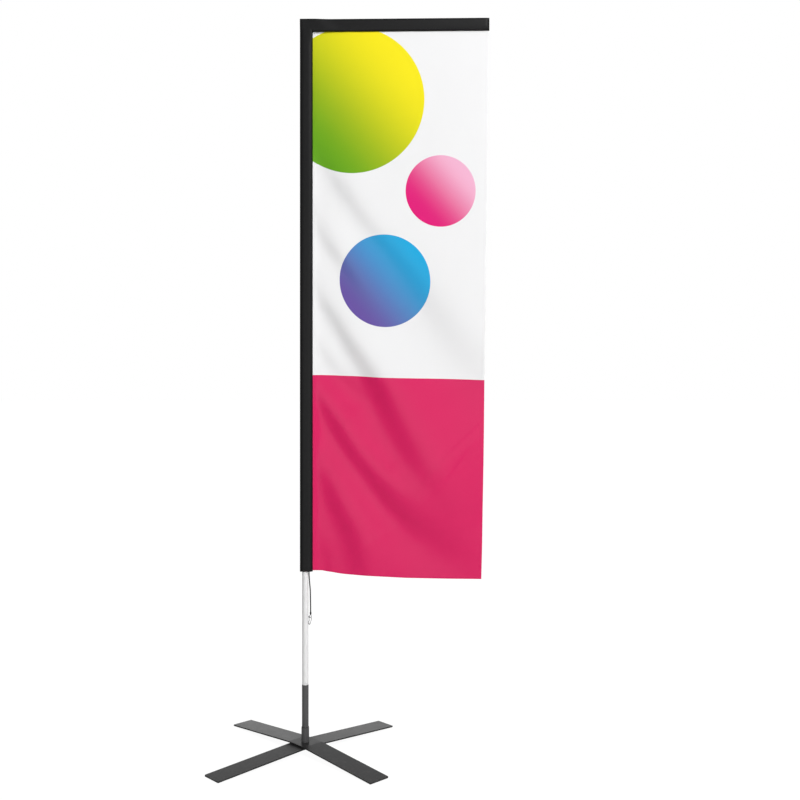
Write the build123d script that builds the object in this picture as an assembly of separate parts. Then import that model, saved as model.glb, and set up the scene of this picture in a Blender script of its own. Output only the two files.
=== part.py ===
from build123d import *
from math import atan2, degrees, pi, radians, sqrt, tan
import os

# Rectangular banner flag on a folding cross base. Millimetres, +Z up.
# Origin: where the pole's axis meets the floor. +X runs along the flag's arm,
# away from the pole, and +Y is the flag's back.

# ---- cross base ----
bar_length = 800.0          # tip to tip
bar_width = 83.0
bar_thickness = 5.0
bar_flat = 90.0             # flat middle of each bar, between its two bends
bar_bend_radius = 30.0
bar_corner_radius = 3.0
bar_angle = 45.0            # each bar's turn away from the flag's plane
lower_bar_rise = 21.0       # underside of the lower bar's flat, above the floor
pad_thin = 1.5              # foot pad under the very tip of an arm
pad_length = 24.0
pad_width = 60.0
pad_inset = 6.0
pad_corner_radius = 4.0

# ---- pivot between the bars ----
bolt_diameter = 12.0
bolt_head_flats = 19.0
bolt_head_height = 7.5
bolt_grip = 15.0            # thread held in the housing plug
washer_diameter = 24.0
washer_thickness = 2.5
slip_disc_diameter = 60.0   # plastic disc between the two bars
slip_disc_thickness = 2.0

# ---- spindle ----
housing_diameter = 28.0
housing_height = 52.0
housing_bore = 20.0
plug_height = 19.0
stem_diameter = 12.0
stem_foot_gap = 3.5         # stem's lower end above the plug
bush_height = 8.0
flange_step = 0.5           # bush flange inside the housing's edge, all round
flange_thickness = 2.0
clip_room = 1.5             # clip to the housing's bore, all round
clip_thickness = 1.0
clip_groove_depth = 0.8
clip_rise = 3.0             # clip above the stem's lower end
socket_wall = 2.4
socket_length = 153.0
stem_head_height = 14.0     # the part of the stem that is fixed in the socket tube

# ---- pole ----
pole_diameter = 22.0
pole_wall = 1.5
pole_sections = 3
pole_top_below_arm = 35.0   # upper end of the last section, below the arm's axis
spigot_below = 137.0        # in the socket
spigot_above = 120.0        # in the pole
spigot_wall = 2.5
joiner_length = 160.0
joiner_wall = 2.0

# ---- corner and top arm ----
arm_diameter = 16.0
arm_bore = 13.0
arm_end_gap = 6.0           # arm cap to the pocket's closed end
corner_reach = 50.0
corner_spigot = 80.0
corner_arm_depth = 34.0
cap_length = 20.0
cap_rim = 3.0

# ---- flag ----
flag_top = 2663.0
flag_height = 2010.0
flag_reach = 669.5          # pole axis to the free end of the top pocket
border_width = 46.5         # black sleeve and black top pocket
sleeve_room = 1.0           # pole to the inside of the sleeve, front and back
border_left = 19.3          # pole axis to the sleeve's outer edge
cloth_thickness = 1.0
panel_thickness = 1.0
panel_pull_in = 28.0        # how far the hanging free edge leans in at the bottom
panel_droop = 29.0          # how far the free lower corner hangs below the sleeve
panel_rise = 2.0            # the panel's lower edge at the sleeve, above the sleeve's end

# ---- tension cord and its hook ----
cord_diameter = 4.2
tab_length = 28.0
tab_thickness = 1.6
tab_clearance = 0.6         # tab to pole
tab_seam = 0.1              # tab to the sleeve's inner edge
knot_diameter = 6.5
knot_length = 13.0
wire = 1.8                  # ring, hook, gate and eye are bent from this wire
ring_radius = 5.2
ring_turn = 50.0
fork_size = 4.4
fork_wall = 0.6
fork_gap = 0.6              # fork to pole
nose_gap = 0.7              # hook's nose to pole
pin_diameter = 1.2
pin_length = 5.2
gate_gap = 0.25             # gate to nose and to the fork's cheeks
eye_half_width = 3.2
eye_reach = 3.8             # how far the pole eye's bend stands off the pole
eye_gap = 0.7               # eye to the hook's toe
toe_radius = 2.2            # the hook's two lower bends
shoulder_radius = 3.0

# ---- fits ----
running = 0.05              # radial, shaft in bush
socket_play = 0.1           # radial, spigot in the socket tube
pivot_play = 0.1            # radial, bolt in the bars
clip_play = 0.3             # axial, clip under the lower bush

# ---- sizes and heights that follow ----
pole_face = pole_diameter / 2
pole_bore = pole_diameter - 2 * pole_wall
socket_bore = pole_bore + 2 * socket_play
socket_diameter = socket_bore + 2 * socket_wall
border_depth = pole_diameter + 2 * (sleeve_room + cloth_thickness)
clip_diameter = housing_bore - 2 * clip_room

lower_bar_top = lower_bar_rise + bar_thickness
upper_bar_rise = lower_bar_top + slip_disc_thickness
upper_bar_top = upper_bar_rise + bar_thickness
plug_top = upper_bar_top + plug_height
housing_top = upper_bar_top + housing_height
flange_top = housing_top + flange_thickness
socket_top = flange_top + socket_length
stem_bottom = plug_top + stem_foot_gap
clip_bottom = stem_bottom + clip_rise
clip_top = clip_bottom + clip_thickness
lower_bush_bottom = clip_top + clip_play

arm_z = flag_top - border_width / 2
pole_top = arm_z - pole_top_below_arm
section_length = (pole_top - socket_top) / pole_sections
sleeve_bottom = flag_top - flag_height
border_right = border_width - border_left
pocket_bottom = flag_top - border_width
cloth_inner_right = border_right - cloth_thickness

# Tension cord, chosen by hand: from the tab inside the sleeve's lower hem, past the
# sleeve's edge and down beside the pole to the knot on the ring.
cord_route = [
    (13.4, 0.0, 662.0),
    (13.4, 0.0, 641.0),
    (15.6, 0.0, 613.0),
    (18.3, 0.0, 585.0),
    (18.7, 0.0, 556.0),
    (19.5, 0.0, 529.0),
    (19.5, 0.0, 506.0),
]

# Ring, hook and gate, in the XZ plane: x from the pole's face, z from the cord's end
cord_end_z = cord_route[-1][2]
ring_centre = (pole_face + 7.6, cord_end_z - 17.9)
hook_hinge = (pole_face + fork_gap + fork_size / 2, cord_end_z - 19.0)
hook_shoulder = (pole_face + 12.6, cord_end_z - 24.0)
hook_heel = (pole_face + 6.2, cord_end_z - 46.8)
hook_nose = (pole_face + nose_gap + wire / 2, cord_end_z - 35.0)
hook_toe = (hook_nose[0], hook_heel[1])
gate_tip = (hook_nose[0] + wire + gate_gap, hook_nose[1] + 0.2)
eye_z = hook_toe[1] + wire + eye_gap


def tube(outer, inner, bottom, top):
    """Upright round tube on the pole's axis."""
    height = top - bottom
    shell = Cylinder(outer / 2, height) - Cylinder(inner / 2, height)
    return Pos(0, 0, (bottom + top) / 2) * shell


def rod(diameter, bottom, top):
    """Upright solid round on the pole's axis."""
    return Pos(0, 0, (bottom + top) / 2) * Cylinder(diameter / 2, top - bottom)


def chamfer_ends(solid, amount, bottom=True, top=True):
    """Chamfer the outermost round edges of an upright turned piece."""
    circles = solid.edges().filter_by(GeomType.CIRCLE).group_by(Axis.Z)
    chosen = ([circles[0].sort_by(SortBy.RADIUS)[-1]] if bottom else [])
    chosen += [circles[-1].sort_by(SortBy.RADIUS)[-1]] if top else []
    return chamfer(chosen, amount)


def side_face(*points):
    """Face in the XZ plane with the given corners."""
    return Plane.XZ * make_face(Polyline(*points, close=True))


def slab(face, width):
    """Face of the XZ plane, made into a slab centred on that plane."""
    return extrude(Pos(0, width / 2, 0) * face, width)


def wire_along(path, diameter):
    """Round wire of the given diameter along a smooth path."""
    section = Plane(origin=path @ 0, z_dir=path % 0) * Circle(diameter / 2)
    return sweep(section, path=path)


# ---------------------------------------------------------------- cross base

def underside(rise, s):
    """Height of a bar's underside, s from the pivot along the arm."""
    tip = bar_length / 2
    flat = bar_flat / 2
    if s <= flat:
        return rise
    return rise - (rise - pad_thin) * (s - flat) / (tip - flat)


def bar(rise):
    """Flat bar along X, bent down on both sides of its flat middle."""
    tip, flat, t = bar_length / 2, bar_flat / 2, bar_thickness
    side = side_face(
        (-tip, pad_thin), (-flat, rise), (flat, rise), (tip, pad_thin),
        (tip, pad_thin + t), (flat, rise + t), (-flat, rise + t), (-tip, pad_thin + t),
    )
    bends = [corner for corner in side.vertices() if abs(corner.X) < flat + 1]
    blank = slab(fillet(bends, bar_bend_radius), bar_width)
    corners = [e for e in blank.edges().filter_by(Axis.Z) if abs(e.center().X) > tip - 1]
    blank = fillet(corners, bar_corner_radius)
    return blank - rod(bolt_diameter + 2 * pivot_play, 0, rise + 2 * t)


def foot_pad(rise, side):
    """Moulded wedge under an arm's tip: level below, sloped like the arm above."""
    outer = bar_length / 2 - pad_inset
    inner = outer - pad_length
    profile = side_face(
        (side * inner, 0), (side * outer, 0),
        (side * outer, underside(rise, outer)), (side * inner, underside(rise, inner)),
    )
    pad = slab(profile, pad_width)
    return fillet(pad.edges().filter_by(Axis.Z), pad_corner_radius)


def lower_bar():
    return Rot(0, 0, bar_angle) * bar(lower_bar_rise)


def upper_bar():
    return Rot(0, 0, -bar_angle) * bar(upper_bar_rise)


# ---------------------------------------------------------------- pivot

def slip_disc():
    """Plastic disc that lets the bars turn on each other."""
    bore = bolt_diameter + 2 * pivot_play
    return tube(slip_disc_diameter, bore, lower_bar_top, upper_bar_rise)


def bolt_washer():
    bore = bolt_diameter + 2 * pivot_play
    return tube(washer_diameter, bore, lower_bar_rise - washer_thickness, lower_bar_rise)


def pivot_bolt():
    """Hexagon bolt, head down, that clamps the bars to the housing's plug."""
    head_top = lower_bar_rise - washer_thickness
    hexagon = RegularPolygon(bolt_head_flats / 2, 6, major_radius=False)
    head = Pos(0, 0, head_top - bolt_head_height) * extrude(hexagon, bolt_head_height)
    rim = rod(bolt_head_flats * 1.12, head_top - bolt_head_height, head_top)
    shank = chamfer_ends(rod(bolt_diameter, head_top, upper_bar_top + bolt_grip), 1.2, bottom=False)
    return (head & chamfer_ends(rim, 1.0, top=False)) + shank


# ---------------------------------------------------------------- spindle

def housing():
    """Collar on the upper bar that holds the spindle's bushes."""
    shell = chamfer_ends(rod(housing_diameter, upper_bar_top, housing_top), 0.8, bottom=False)
    return shell - rod(housing_bore, upper_bar_top - 1, housing_top + 1)


def housing_plug():
    """Threaded plug in the housing's foot, which the pivot bolt screws into."""
    plug = rod(housing_bore, upper_bar_top, plug_top)
    return plug - rod(bolt_diameter, upper_bar_top - 1, upper_bar_top + bolt_grip + 1)


def bush(bottom, top):
    return tube(housing_bore, stem_diameter + 2 * running, bottom, top)


def lower_bush():
    return bush(lower_bush_bottom, lower_bush_bottom + bush_height)


def upper_bush():
    """Flanged bush: its flange carries the weight of the pole and flag."""
    bore = stem_diameter + 2 * running
    flange = tube(housing_diameter - 2 * flange_step, bore, housing_top, flange_top)
    return bush(housing_top - bush_height, housing_top) + flange


def spindle_stem():
    """Turned stem: runs in the bushes, and is fixed in the socket tube above them."""
    shaft = rod(stem_diameter, stem_bottom, flange_top)
    shaft = chamfer_ends(shaft, 0.8, top=False)
    groove = tube(stem_diameter + 2, stem_diameter - 2 * clip_groove_depth, clip_bottom, clip_top)
    return shaft - groove + rod(socket_bore, flange_top, flange_top + stem_head_height)


def retaining_clip():
    """Open clip in the stem's groove, under the lower bush."""
    bore = stem_diameter - 2 * clip_groove_depth
    ring = tube(clip_diameter, bore, clip_bottom, clip_top)
    mouth = Pos(clip_diameter / 2, 0, clip_bottom) * Box(clip_diameter, bore * 0.7, 4)
    return ring - mouth


def socket_tube():
    """Tube that turns with the flag and takes the pole's foot."""
    shell = tube(socket_diameter, socket_bore, flange_top, socket_top)
    return chamfer_ends(shell, 0.6)


# ---------------------------------------------------------------- pole

def pole_spigot():
    """Reduced foot of the pole: half in the lowest section, half in the socket."""
    bore = pole_bore - 2 * spigot_wall
    foot = tube(pole_bore, bore, socket_top - spigot_below, socket_top + spigot_above)
    return chamfer_ends(foot, 1.2)


def pole_section(number):
    """Section 1 stands on the socket; each one stands on the one below."""
    bottom = socket_top + (number - 1) * section_length
    section = tube(pole_diameter, pole_bore, bottom, bottom + section_length)
    section = chamfer_ends(section, 0.4)
    if number == 1:
        for y in (-eye_half_width, eye_half_width):
            hole = Pos(pole_face, y, eye_z) * Rot(0, 90, 0)
            section -= hole * Cylinder(wire / 2, pole_diameter)
    return section


def pole_joiner(number):
    """Inner tube across the joint above the section of that number."""
    joint = socket_top + number * section_length
    bore = pole_bore - 2 * joiner_wall
    return tube(pole_bore, bore, joint - joiner_length / 2, joint + joiner_length / 2)


# ---------------------------------------------------------------- corner and arm

def corner_piece():
    """Moulded corner: plugs into the pole and takes the arm in its side socket."""
    upright = rod(pole_diameter, pole_top, arm_z)
    knuckle = Pos(0, 0, arm_z) * Sphere(pole_diameter / 2)
    side = Pos(corner_reach / 2, 0, arm_z) * Rot(0, 90, 0)
    side *= Cylinder(pole_diameter / 2, corner_reach)
    spigot = chamfer_ends(rod(pole_bore, pole_top - corner_spigot, pole_top), 1.2, top=False)
    bore = Pos(corner_reach, 0, arm_z) * Rot(0, 90, 0)
    bore *= Cylinder(arm_diameter / 2, 2 * corner_arm_depth)
    return upright + knuckle + side + spigot - bore


def along_arm(outer, inner, start, end):
    """Round tube about the arm's axis."""
    shell = Cylinder(outer / 2, end - start)
    if inner:
        shell -= Cylinder(inner / 2, end - start)
    return Pos((start + end) / 2, 0, arm_z) * Rot(0, 90, 0) * shell


arm_start = corner_reach - corner_arm_depth
arm_end = flag_reach - cloth_thickness - arm_end_gap - cap_rim


def top_arm():
    return along_arm(arm_diameter, arm_bore, arm_start, arm_end)


def arm_cap():
    """Plastic plug in the arm's free end, with a rim the tube butts against."""
    plug = along_arm(arm_bore, 0, arm_end - cap_length + cap_rim, arm_end)
    rim = along_arm(arm_diameter, 0, arm_end, arm_end + cap_rim)
    end = rim.edges().filter_by(GeomType.CIRCLE).sort_by(Axis.X)[-1]
    return plug + chamfer(end, 1)


# ---------------------------------------------------------------- flag

def oval(width, inset):
    """Flattened tube section: straight sides, round ends."""
    return SlotOverall(width - 2 * inset, border_depth - 2 * inset)


def upright_tube(inset):
    """Solid of the sleeve's section, past the mitre at the top."""
    centre = border_width / 2 - border_left
    section = Pos(centre, 0, sleeve_bottom) * oval(border_width, inset)
    return extrude(section, flag_height + border_width)


def level_tube(inset, end):
    """Solid of the top pocket's section, from past the mitre to the given end."""
    start = -border_left - border_width
    section = Plane.YZ * Rot(0, 0, 90) * oval(border_width, inset)
    return Pos(start, 0, arm_z) * extrude(section, end - start)


def mitre(above):
    """Half-space on one side of the seam across the flag's black corner."""
    size = 3 * (flag_height + flag_reach)
    shift = size / 2 if above else -size / 2
    corner = Pos(-border_left, 0, flag_top) * Rot(0, -45, 0)
    return corner * Pos(shift, 0, 0) * Box(size, size, size)


def pole_sleeve():
    """Black sleeve over the pole, open at its lower end."""
    shell = upright_tube(0) - upright_tube(cloth_thickness)
    return shell & mitre(above=False)


def top_pocket():
    """Black pocket over the arm, closed at its free end."""
    inner = level_tube(cloth_thickness, flag_reach - cloth_thickness)
    return (level_tube(0, flag_reach) - inner) & mitre(above=True)


def flag_panel():
    """Printed panel, hanging: its free edge leans in and its free corner droops."""
    outline = side_face(
        (border_right, pocket_bottom), (flag_reach, pocket_bottom),
        (flag_reach - panel_pull_in, sleeve_bottom - panel_droop),
        (border_right + border_width, sleeve_bottom + panel_rise),
        (border_right, sleeve_bottom + panel_rise),
    )
    return slab(outline, panel_thickness)


# ---------------------------------------------------------------- cord and hook

def cord_tab():
    """Webbing tab sewn into the sleeve's edge, which holds the cord's end."""
    left = pole_face + tab_clearance
    width = cloth_inner_right - tab_seam - left
    height = cord_route[0][2] + tab_length / 2
    return Pos(left + width / 2, 0, height) * Box(width, tab_thickness, tab_length)


def bend_radii(points):
    """The largest arc that each corner's two runs allow."""
    radii = []
    for before, here, after in zip(points, points[1:], points[2:]):
        run_in, run_out = Vector(here) - Vector(before), Vector(after) - Vector(here)
        turn = radians(run_in.get_angle(run_out))
        radii.append(0.45 * min(run_in.length, run_out.length) / tan(turn / 2))
    return radii


def tension_cord():
    radii = bend_radii(cord_route)
    path = FilletPolyline(*cord_route, radius=radii)
    cord = wire_along(path, cord_diameter)
    section = pi * cord_diameter ** 2 / 4
    print("cord radii", [round(r) for r in radii], "length", round(path.length, 1))
    print("cord volume over section times length", round(cord.volume / (section * path.length), 5))
    return cord


def cord_knot():
    """Barrel knot at the cord's lower end, round the ring."""
    x, _, top = cord_route[-1]
    ring_top = ring_centre[1] + ring_radius + wire / 2
    height = top - ring_top
    barrel = Pos(x, 0, (top + ring_top) / 2) * Cylinder(knot_diameter / 2, height)
    return fillet(barrel.edges().filter_by(GeomType.CIRCLE), min(height, knot_diameter) * 0.3)


def cord_ring():
    x, z = ring_centre
    return Pos(x, 0, z) * Rot(0, 0, ring_turn) * Rot(90, 0, 0) * Torus(ring_radius, wire / 2)


def in_plane(point):
    """Point of the hook's XZ plane."""
    return (point[0], 0, point[1])


def spring_hook():
    """Bent wire hook with a fork at its upper end for the gate."""
    start = (hook_hinge[0] + fork_size / 2 + 0.1, hook_hinge[1] + fork_wall)
    points = (start, hook_shoulder, hook_heel, hook_toe, hook_nose)
    corners = [in_plane(point) for point in points]
    bends = [shoulder_radius, toe_radius, toe_radius]
    frame = wire_along(FilletPolyline(*corners, radius=bends), wire)
    fork = Box(fork_size, fork_size, fork_size)
    fork = fillet(fork.edges().filter_by(Axis.Y), fork_size * 0.3)
    fork -= Pos(-fork_wall, 0, -fork_wall) * Box(fork_size, wire + 2 * gate_gap, fork_size)
    hinge = Pos(hook_hinge[0], 0, hook_hinge[1]) * Rot(90, 0, 0)
    nose = Pos(hook_nose[0], 0, hook_nose[1]) * Sphere(wire / 2)
    hook = Pos(hook_hinge[0], 0, hook_hinge[1]) * fork + frame + nose
    return hook - hinge * Cylinder(pin_diameter / 2, pin_length + 2)


def gate_pin():
    hinge = Pos(hook_hinge[0], 0, hook_hinge[1]) * Rot(90, 0, 0)
    return hinge * Cylinder(pin_diameter / 2, pin_length)


def hook_gate():
    """Straight gate wire with a flattened eye on the pin."""
    (x, z), (tip_x, tip_z) = hook_hinge, gate_tip
    length = sqrt((tip_x - x) ** 2 + (tip_z - z) ** 2)
    lean = degrees(atan2(x - tip_x, z - tip_z))
    stick = Pos(0, 0, -length / 2) * Cylinder(wire / 2, length)
    tip = Pos(0, 0, -length) * Sphere(wire / 2)
    eye = Rot(90, 0, 0) * Cylinder(fork_size / 2 - fork_wall - gate_gap, wire)
    pin_hole = Rot(90, 0, 0) * Cylinder(pin_diameter / 2 + running, wire + 2)
    return Pos(x, 0, z) * Rot(0, lean, 0) * (stick + tip + eye - pin_hole)


def pole_eye():
    """Wire staple through the pole's wall, which the hook catches."""
    w, end = eye_half_width, pole_face + eye_reach - eye_half_width
    inside = pole_bore / 2 - wire
    leg = Line((inside, w, eye_z), (end, w, eye_z))
    bend = ThreePointArc((end, w, eye_z), (end + w, 0, eye_z), (end, -w, eye_z))
    back = Line((end, -w, eye_z), (inside, -w, eye_z))
    return wire_along(Wire([*leg.edges(), *bend.edges(), *back.edges()]), wire)


# ---------------------------------------------------------------- nodes

nodes = {
    "lower_bar": lower_bar(),
    "upper_bar": upper_bar(),
    "slip_disc": slip_disc(),
    "bolt_washer": bolt_washer(),
    "pivot_bolt": pivot_bolt(),
    "spindle_housing": housing(),
    "housing_plug": housing_plug(),
    "lower_bush": lower_bush(),
    "upper_bush": upper_bush(),
    "spindle_stem": spindle_stem(),
    "retaining_clip": retaining_clip(),
    "socket_tube": socket_tube(),
    "pole_spigot": pole_spigot(),
    "corner_piece": corner_piece(),
    "top_arm": top_arm(),
    "arm_cap": arm_cap(),
    "pole_sleeve": pole_sleeve(),
    "top_pocket": top_pocket(),
    "flag_panel": flag_panel(),
    "cord_tab": cord_tab(),
    "tension_cord": tension_cord(),
    "cord_knot": cord_knot(),
    "cord_ring": cord_ring(),
    "spring_hook": spring_hook(),
    "hook_gate": hook_gate(),
    "gate_pin": gate_pin(),
    "pole_eye": pole_eye(),
}
for name, rise, turn in (("lower", lower_bar_rise, bar_angle), ("upper", upper_bar_rise, -bar_angle)):
    for end, side in (("left", -1), ("right", 1)):
        nodes[f"foot_pad_{name}_{end}"] = Rot(0, 0, turn) * foot_pad(rise, side)
for number in range(1, pole_sections + 1):
    nodes[f"pole_section_{number}"] = pole_section(number)
for number in range(1, pole_sections):
    nodes[f"pole_joiner_{number}"] = pole_joiner(number)

os.makedirs("parts", exist_ok=True)
for name, solid in nodes.items():
    export_step(solid, f"parts/{name}.step")
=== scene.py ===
import math

import bpy
import numpy as np
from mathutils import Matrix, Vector


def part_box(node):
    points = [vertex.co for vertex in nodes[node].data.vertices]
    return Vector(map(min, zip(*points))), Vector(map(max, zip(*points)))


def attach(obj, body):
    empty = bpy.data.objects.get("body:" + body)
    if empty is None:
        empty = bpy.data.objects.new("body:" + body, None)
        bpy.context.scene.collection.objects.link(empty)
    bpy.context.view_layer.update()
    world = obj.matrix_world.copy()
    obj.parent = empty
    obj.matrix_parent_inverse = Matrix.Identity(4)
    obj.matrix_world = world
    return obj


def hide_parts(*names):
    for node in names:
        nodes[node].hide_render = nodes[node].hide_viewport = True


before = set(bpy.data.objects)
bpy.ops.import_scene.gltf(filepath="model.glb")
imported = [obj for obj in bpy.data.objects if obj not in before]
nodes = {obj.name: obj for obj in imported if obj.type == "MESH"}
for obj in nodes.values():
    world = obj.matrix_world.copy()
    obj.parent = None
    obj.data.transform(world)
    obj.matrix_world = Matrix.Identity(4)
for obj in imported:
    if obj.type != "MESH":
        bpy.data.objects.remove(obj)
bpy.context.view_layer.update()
scene = bpy.context.scene
MM = 0.001

HOUSING_FOOT, HOUSING_RIM = (corner.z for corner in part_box("spindle_housing"))
SOCKET_FOOT, SOCKET_RIM = (corner.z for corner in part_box("socket_tube"))
BAR_HALF_WIDTH = 0.0415
BAR_HALF_LENGTH = 0.4


def link(obj):
    scene.collection.objects.link(obj)
    return obj


# ------------------------------------------------------------------ camera

CAMERA_PLACE = (0.4224, -3.5105, 1.2767)
CAMERA_TURN = (math.radians(90), 0, math.radians(1.26))
CAMERA_LENS = 43.456

camera_data = bpy.data.cameras.new("camera")
camera_data.sensor_width = 36
camera_data.lens = CAMERA_LENS
camera_data.clip_end = 2000
camera = link(bpy.data.objects.new("camera", camera_data))
camera.location = CAMERA_PLACE
camera.rotation_euler = CAMERA_TURN
scene.camera = camera
scene.view_settings.view_transform = "Standard"


# ------------------------------------------------------------------ mesh helpers

def mesh_object(name, verts, faces, uvs=None, smooth=True, rim=0):
    """Mesh object from an (n, 3) array in metres, faces and, if given, one UV per face corner.
    The last faces, as many as rim says, are cut edges and stay flat."""
    mesh = bpy.data.meshes.new(name)
    mesh.from_pydata([tuple(v) for v in np.asarray(verts, float)], [], [tuple(f) for f in faces])
    if uvs is not None:
        layer = mesh.uv_layers.new(name="flat")
        layer.data.foreach_set("uv", np.asarray(uvs, np.float32).ravel())
    mesh.polygons.foreach_set("use_smooth", [smooth] * (len(faces) - rim) + [False] * rim)
    mesh.validate()
    mesh.update()
    return link(bpy.data.objects.new(name, mesh))


def grid_faces(rows, columns, start=0, closed=False, flip=False):
    """Quads of a grid whose vertex (i, j) is number start + i * columns + j."""
    faces = []
    for i in range(rows - 1):
        for j in range(columns if closed else columns - 1):
            k = (j + 1) % columns
            quad = (i * columns + j, i * columns + k, (i + 1) * columns + k, (i + 1) * columns + j)
            quad = tuple(start + q for q in quad)
            faces.append(quad[::-1] if flip else quad)
    return faces


def tube_faces(rings, sides):
    """Faces of a closed tube of rings, with a flat cap on each end."""
    last = (rings - 1) * sides
    caps = [tuple(range(sides))[::-1], tuple(range(last, last + sides))]
    return grid_faces(rings, sides, closed=True) + caps


def sheet_faces(rows, columns):
    """Faces of a front grid, a back grid whose vertices follow, and the rim between them,
    which comes last. Returns them and the rim's count."""
    count = rows * columns
    faces = grid_faces(rows, columns, flip=True) + grid_faces(rows, columns, count)
    ring = list(range(columns)) + [i * columns + columns - 1 for i in range(1, rows)]
    ring += [(rows - 1) * columns + j for j in range(columns - 2, -1, -1)]
    ring += [i * columns for i in range(rows - 2, 0, -1)]
    faces += [(a, b, b + count, a + count) for a, b in zip(ring, ring[1:] + ring[:1])]
    return faces, len(ring)


def chaikin(points, times=3):
    """Rounds a polyline's corners, keeping its ends."""
    p = np.asarray(points, float)
    for _ in range(times):
        near, far = 0.75 * p[:-1] + 0.25 * p[1:], 0.25 * p[:-1] + 0.75 * p[1:]
        p = np.vstack([p[:1], np.stack([near, far], 1).reshape(-1, p.shape[1]), p[-1:]])
    return p


def along(points):
    """Distance along a polyline at each of its points."""
    steps = np.linalg.norm(np.diff(points, axis=0), axis=1)
    return np.concatenate([[0], np.cumsum(steps)])


def step(x, low, high):
    """Smooth 0 to 1 as x goes from low to high."""
    t = np.clip((x - low) / (high - low), 0, 1)
    return t * t * (3 - 2 * t)


# ------------------------------------------------------------------ node helpers

class NodeTree:
    """Helpers that add nodes to a material's or the world's node tree."""

    def __init__(self, tree):
        self.tree = tree

    def node(self, kind, **settings):
        made = self.tree.nodes.new(kind)
        for key, value in settings.items():
            setattr(made, key, value)
        return made

    def put(self, socket, value):
        if isinstance(value, bpy.types.NodeSocket):
            self.tree.links.new(value, socket)
        else:
            socket.default_value = value

    def math(self, kind, a, b=0.0, c=0.0, clamp=False):
        made = self.node("ShaderNodeMath", operation=kind, use_clamp=clamp)
        for socket, value in zip(made.inputs, (a, b, c)):
            self.put(socket, value)
        return made.outputs[0]

    def parts(self, vector):
        made = self.node("ShaderNodeSeparateXYZ")
        self.put(made.inputs[0], vector)
        return made.outputs

    def fade(self, value, low, high, out_low=0.0, out_high=1.0):
        """Smoothly from out_low, at low, to out_high, at high."""
        made = self.node("ShaderNodeMapRange", interpolation_type="SMOOTHSTEP")
        for socket, number in zip(made.inputs, (value, low, high, out_low, out_high)):
            self.put(socket, number)
        return made.outputs[0]


class Surface(NodeTree):
    """A Principled material and what its finish is made from."""

    def __init__(self, name, color, roughness, **sockets):
        self.material = bpy.data.materials.new(name)
        self.material.use_nodes = True
        super().__init__(self.material.node_tree)
        self.shader = self.tree.nodes["Principled BSDF"]
        self.shader.inputs["Base Color"].default_value = (*color, 1)
        self.shader.inputs["Roughness"].default_value = roughness
        for socket, value in sockets.items():
            self.shader.inputs[socket.replace("_", " ")].default_value = value
        self.place = self.node("ShaderNodeTexCoord").outputs["Object"]

    def set(self, name, value):
        self.put(self.shader.inputs[name], value)

    def mix(self, share, a, b):
        made = self.node("ShaderNodeMix", data_type="RGBA")
        self.put(made.inputs[0], share)
        for socket, value in ((made.inputs[6], a), (made.inputs[7], b)):
            self.put(socket, value if isinstance(value, bpy.types.NodeSocket) else (*value, 1))
        return made.outputs[2]

    def stretched(self, scale, source=None):
        made = self.node("ShaderNodeMapping")
        self.put(made.inputs["Vector"], source or self.place)
        made.inputs["Scale"].default_value = scale
        return made.outputs[0]

    def noise(self, scale, detail=3.0, source=None):
        made = self.node("ShaderNodeTexNoise")
        self.put(made.inputs["Vector"], source or self.place)
        made.inputs["Scale"].default_value = scale
        made.inputs["Detail"].default_value = detail
        return made.outputs["Fac"]

    def bump(self, height, strength, distance, below=None):
        made = self.node("ShaderNodeBump")
        made.inputs["Strength"].default_value = strength
        made.inputs["Distance"].default_value = distance
        self.put(made.inputs["Height"], height)
        if below is not None:
            self.put(made.inputs["Normal"], below)
        self.set("Normal", made.outputs[0])
        return made.outputs[0]


def rgb(r, g, b):
    """Linear colour of an sRGB colour given in 0 to 255."""
    return tuple(((c / 255 + 0.055) / 1.055) ** 2.4 if c > 10 else c / 3294.6 for c in (r, g, b))


# ------------------------------------------------------------------ materials

def powder_coat(name, tone, worn):
    """Dark textured powder coat. worn builds the share of bare steel from the surface."""
    s = Surface(name, (tone, tone, tone), 0.36, Specular_IOR_Level=0.3)
    cloud = s.noise(14, 4)
    grain = s.noise(900, 2)
    low, high = 0.8 * tone, 1.2 * tone
    dark = s.mix(cloud, (low, low, 1.03 * low), (high, high, 1.02 * high))
    dust = s.math("MULTIPLY", s.fade(s.noise(60, 5), 0.5, 0.75), 0.18)
    dark = s.mix(dust, dark, (0.10, 0.097, 0.092))
    share = worn(s)
    s.set("Base Color", s.mix(share, dark, (0.42, 0.41, 0.40)))
    s.set("Metallic", share)
    rough = s.math("MULTIPLY_ADD", cloud, 0.12, 0.29)
    s.set("Roughness", s.math("MULTIPLY_ADD", share, -0.1, rough))
    s.bump(grain, 0.35, 0.00012, s.bump(s.noise(260, 3), 0.2, 0.0003))
    return s.material


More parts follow.
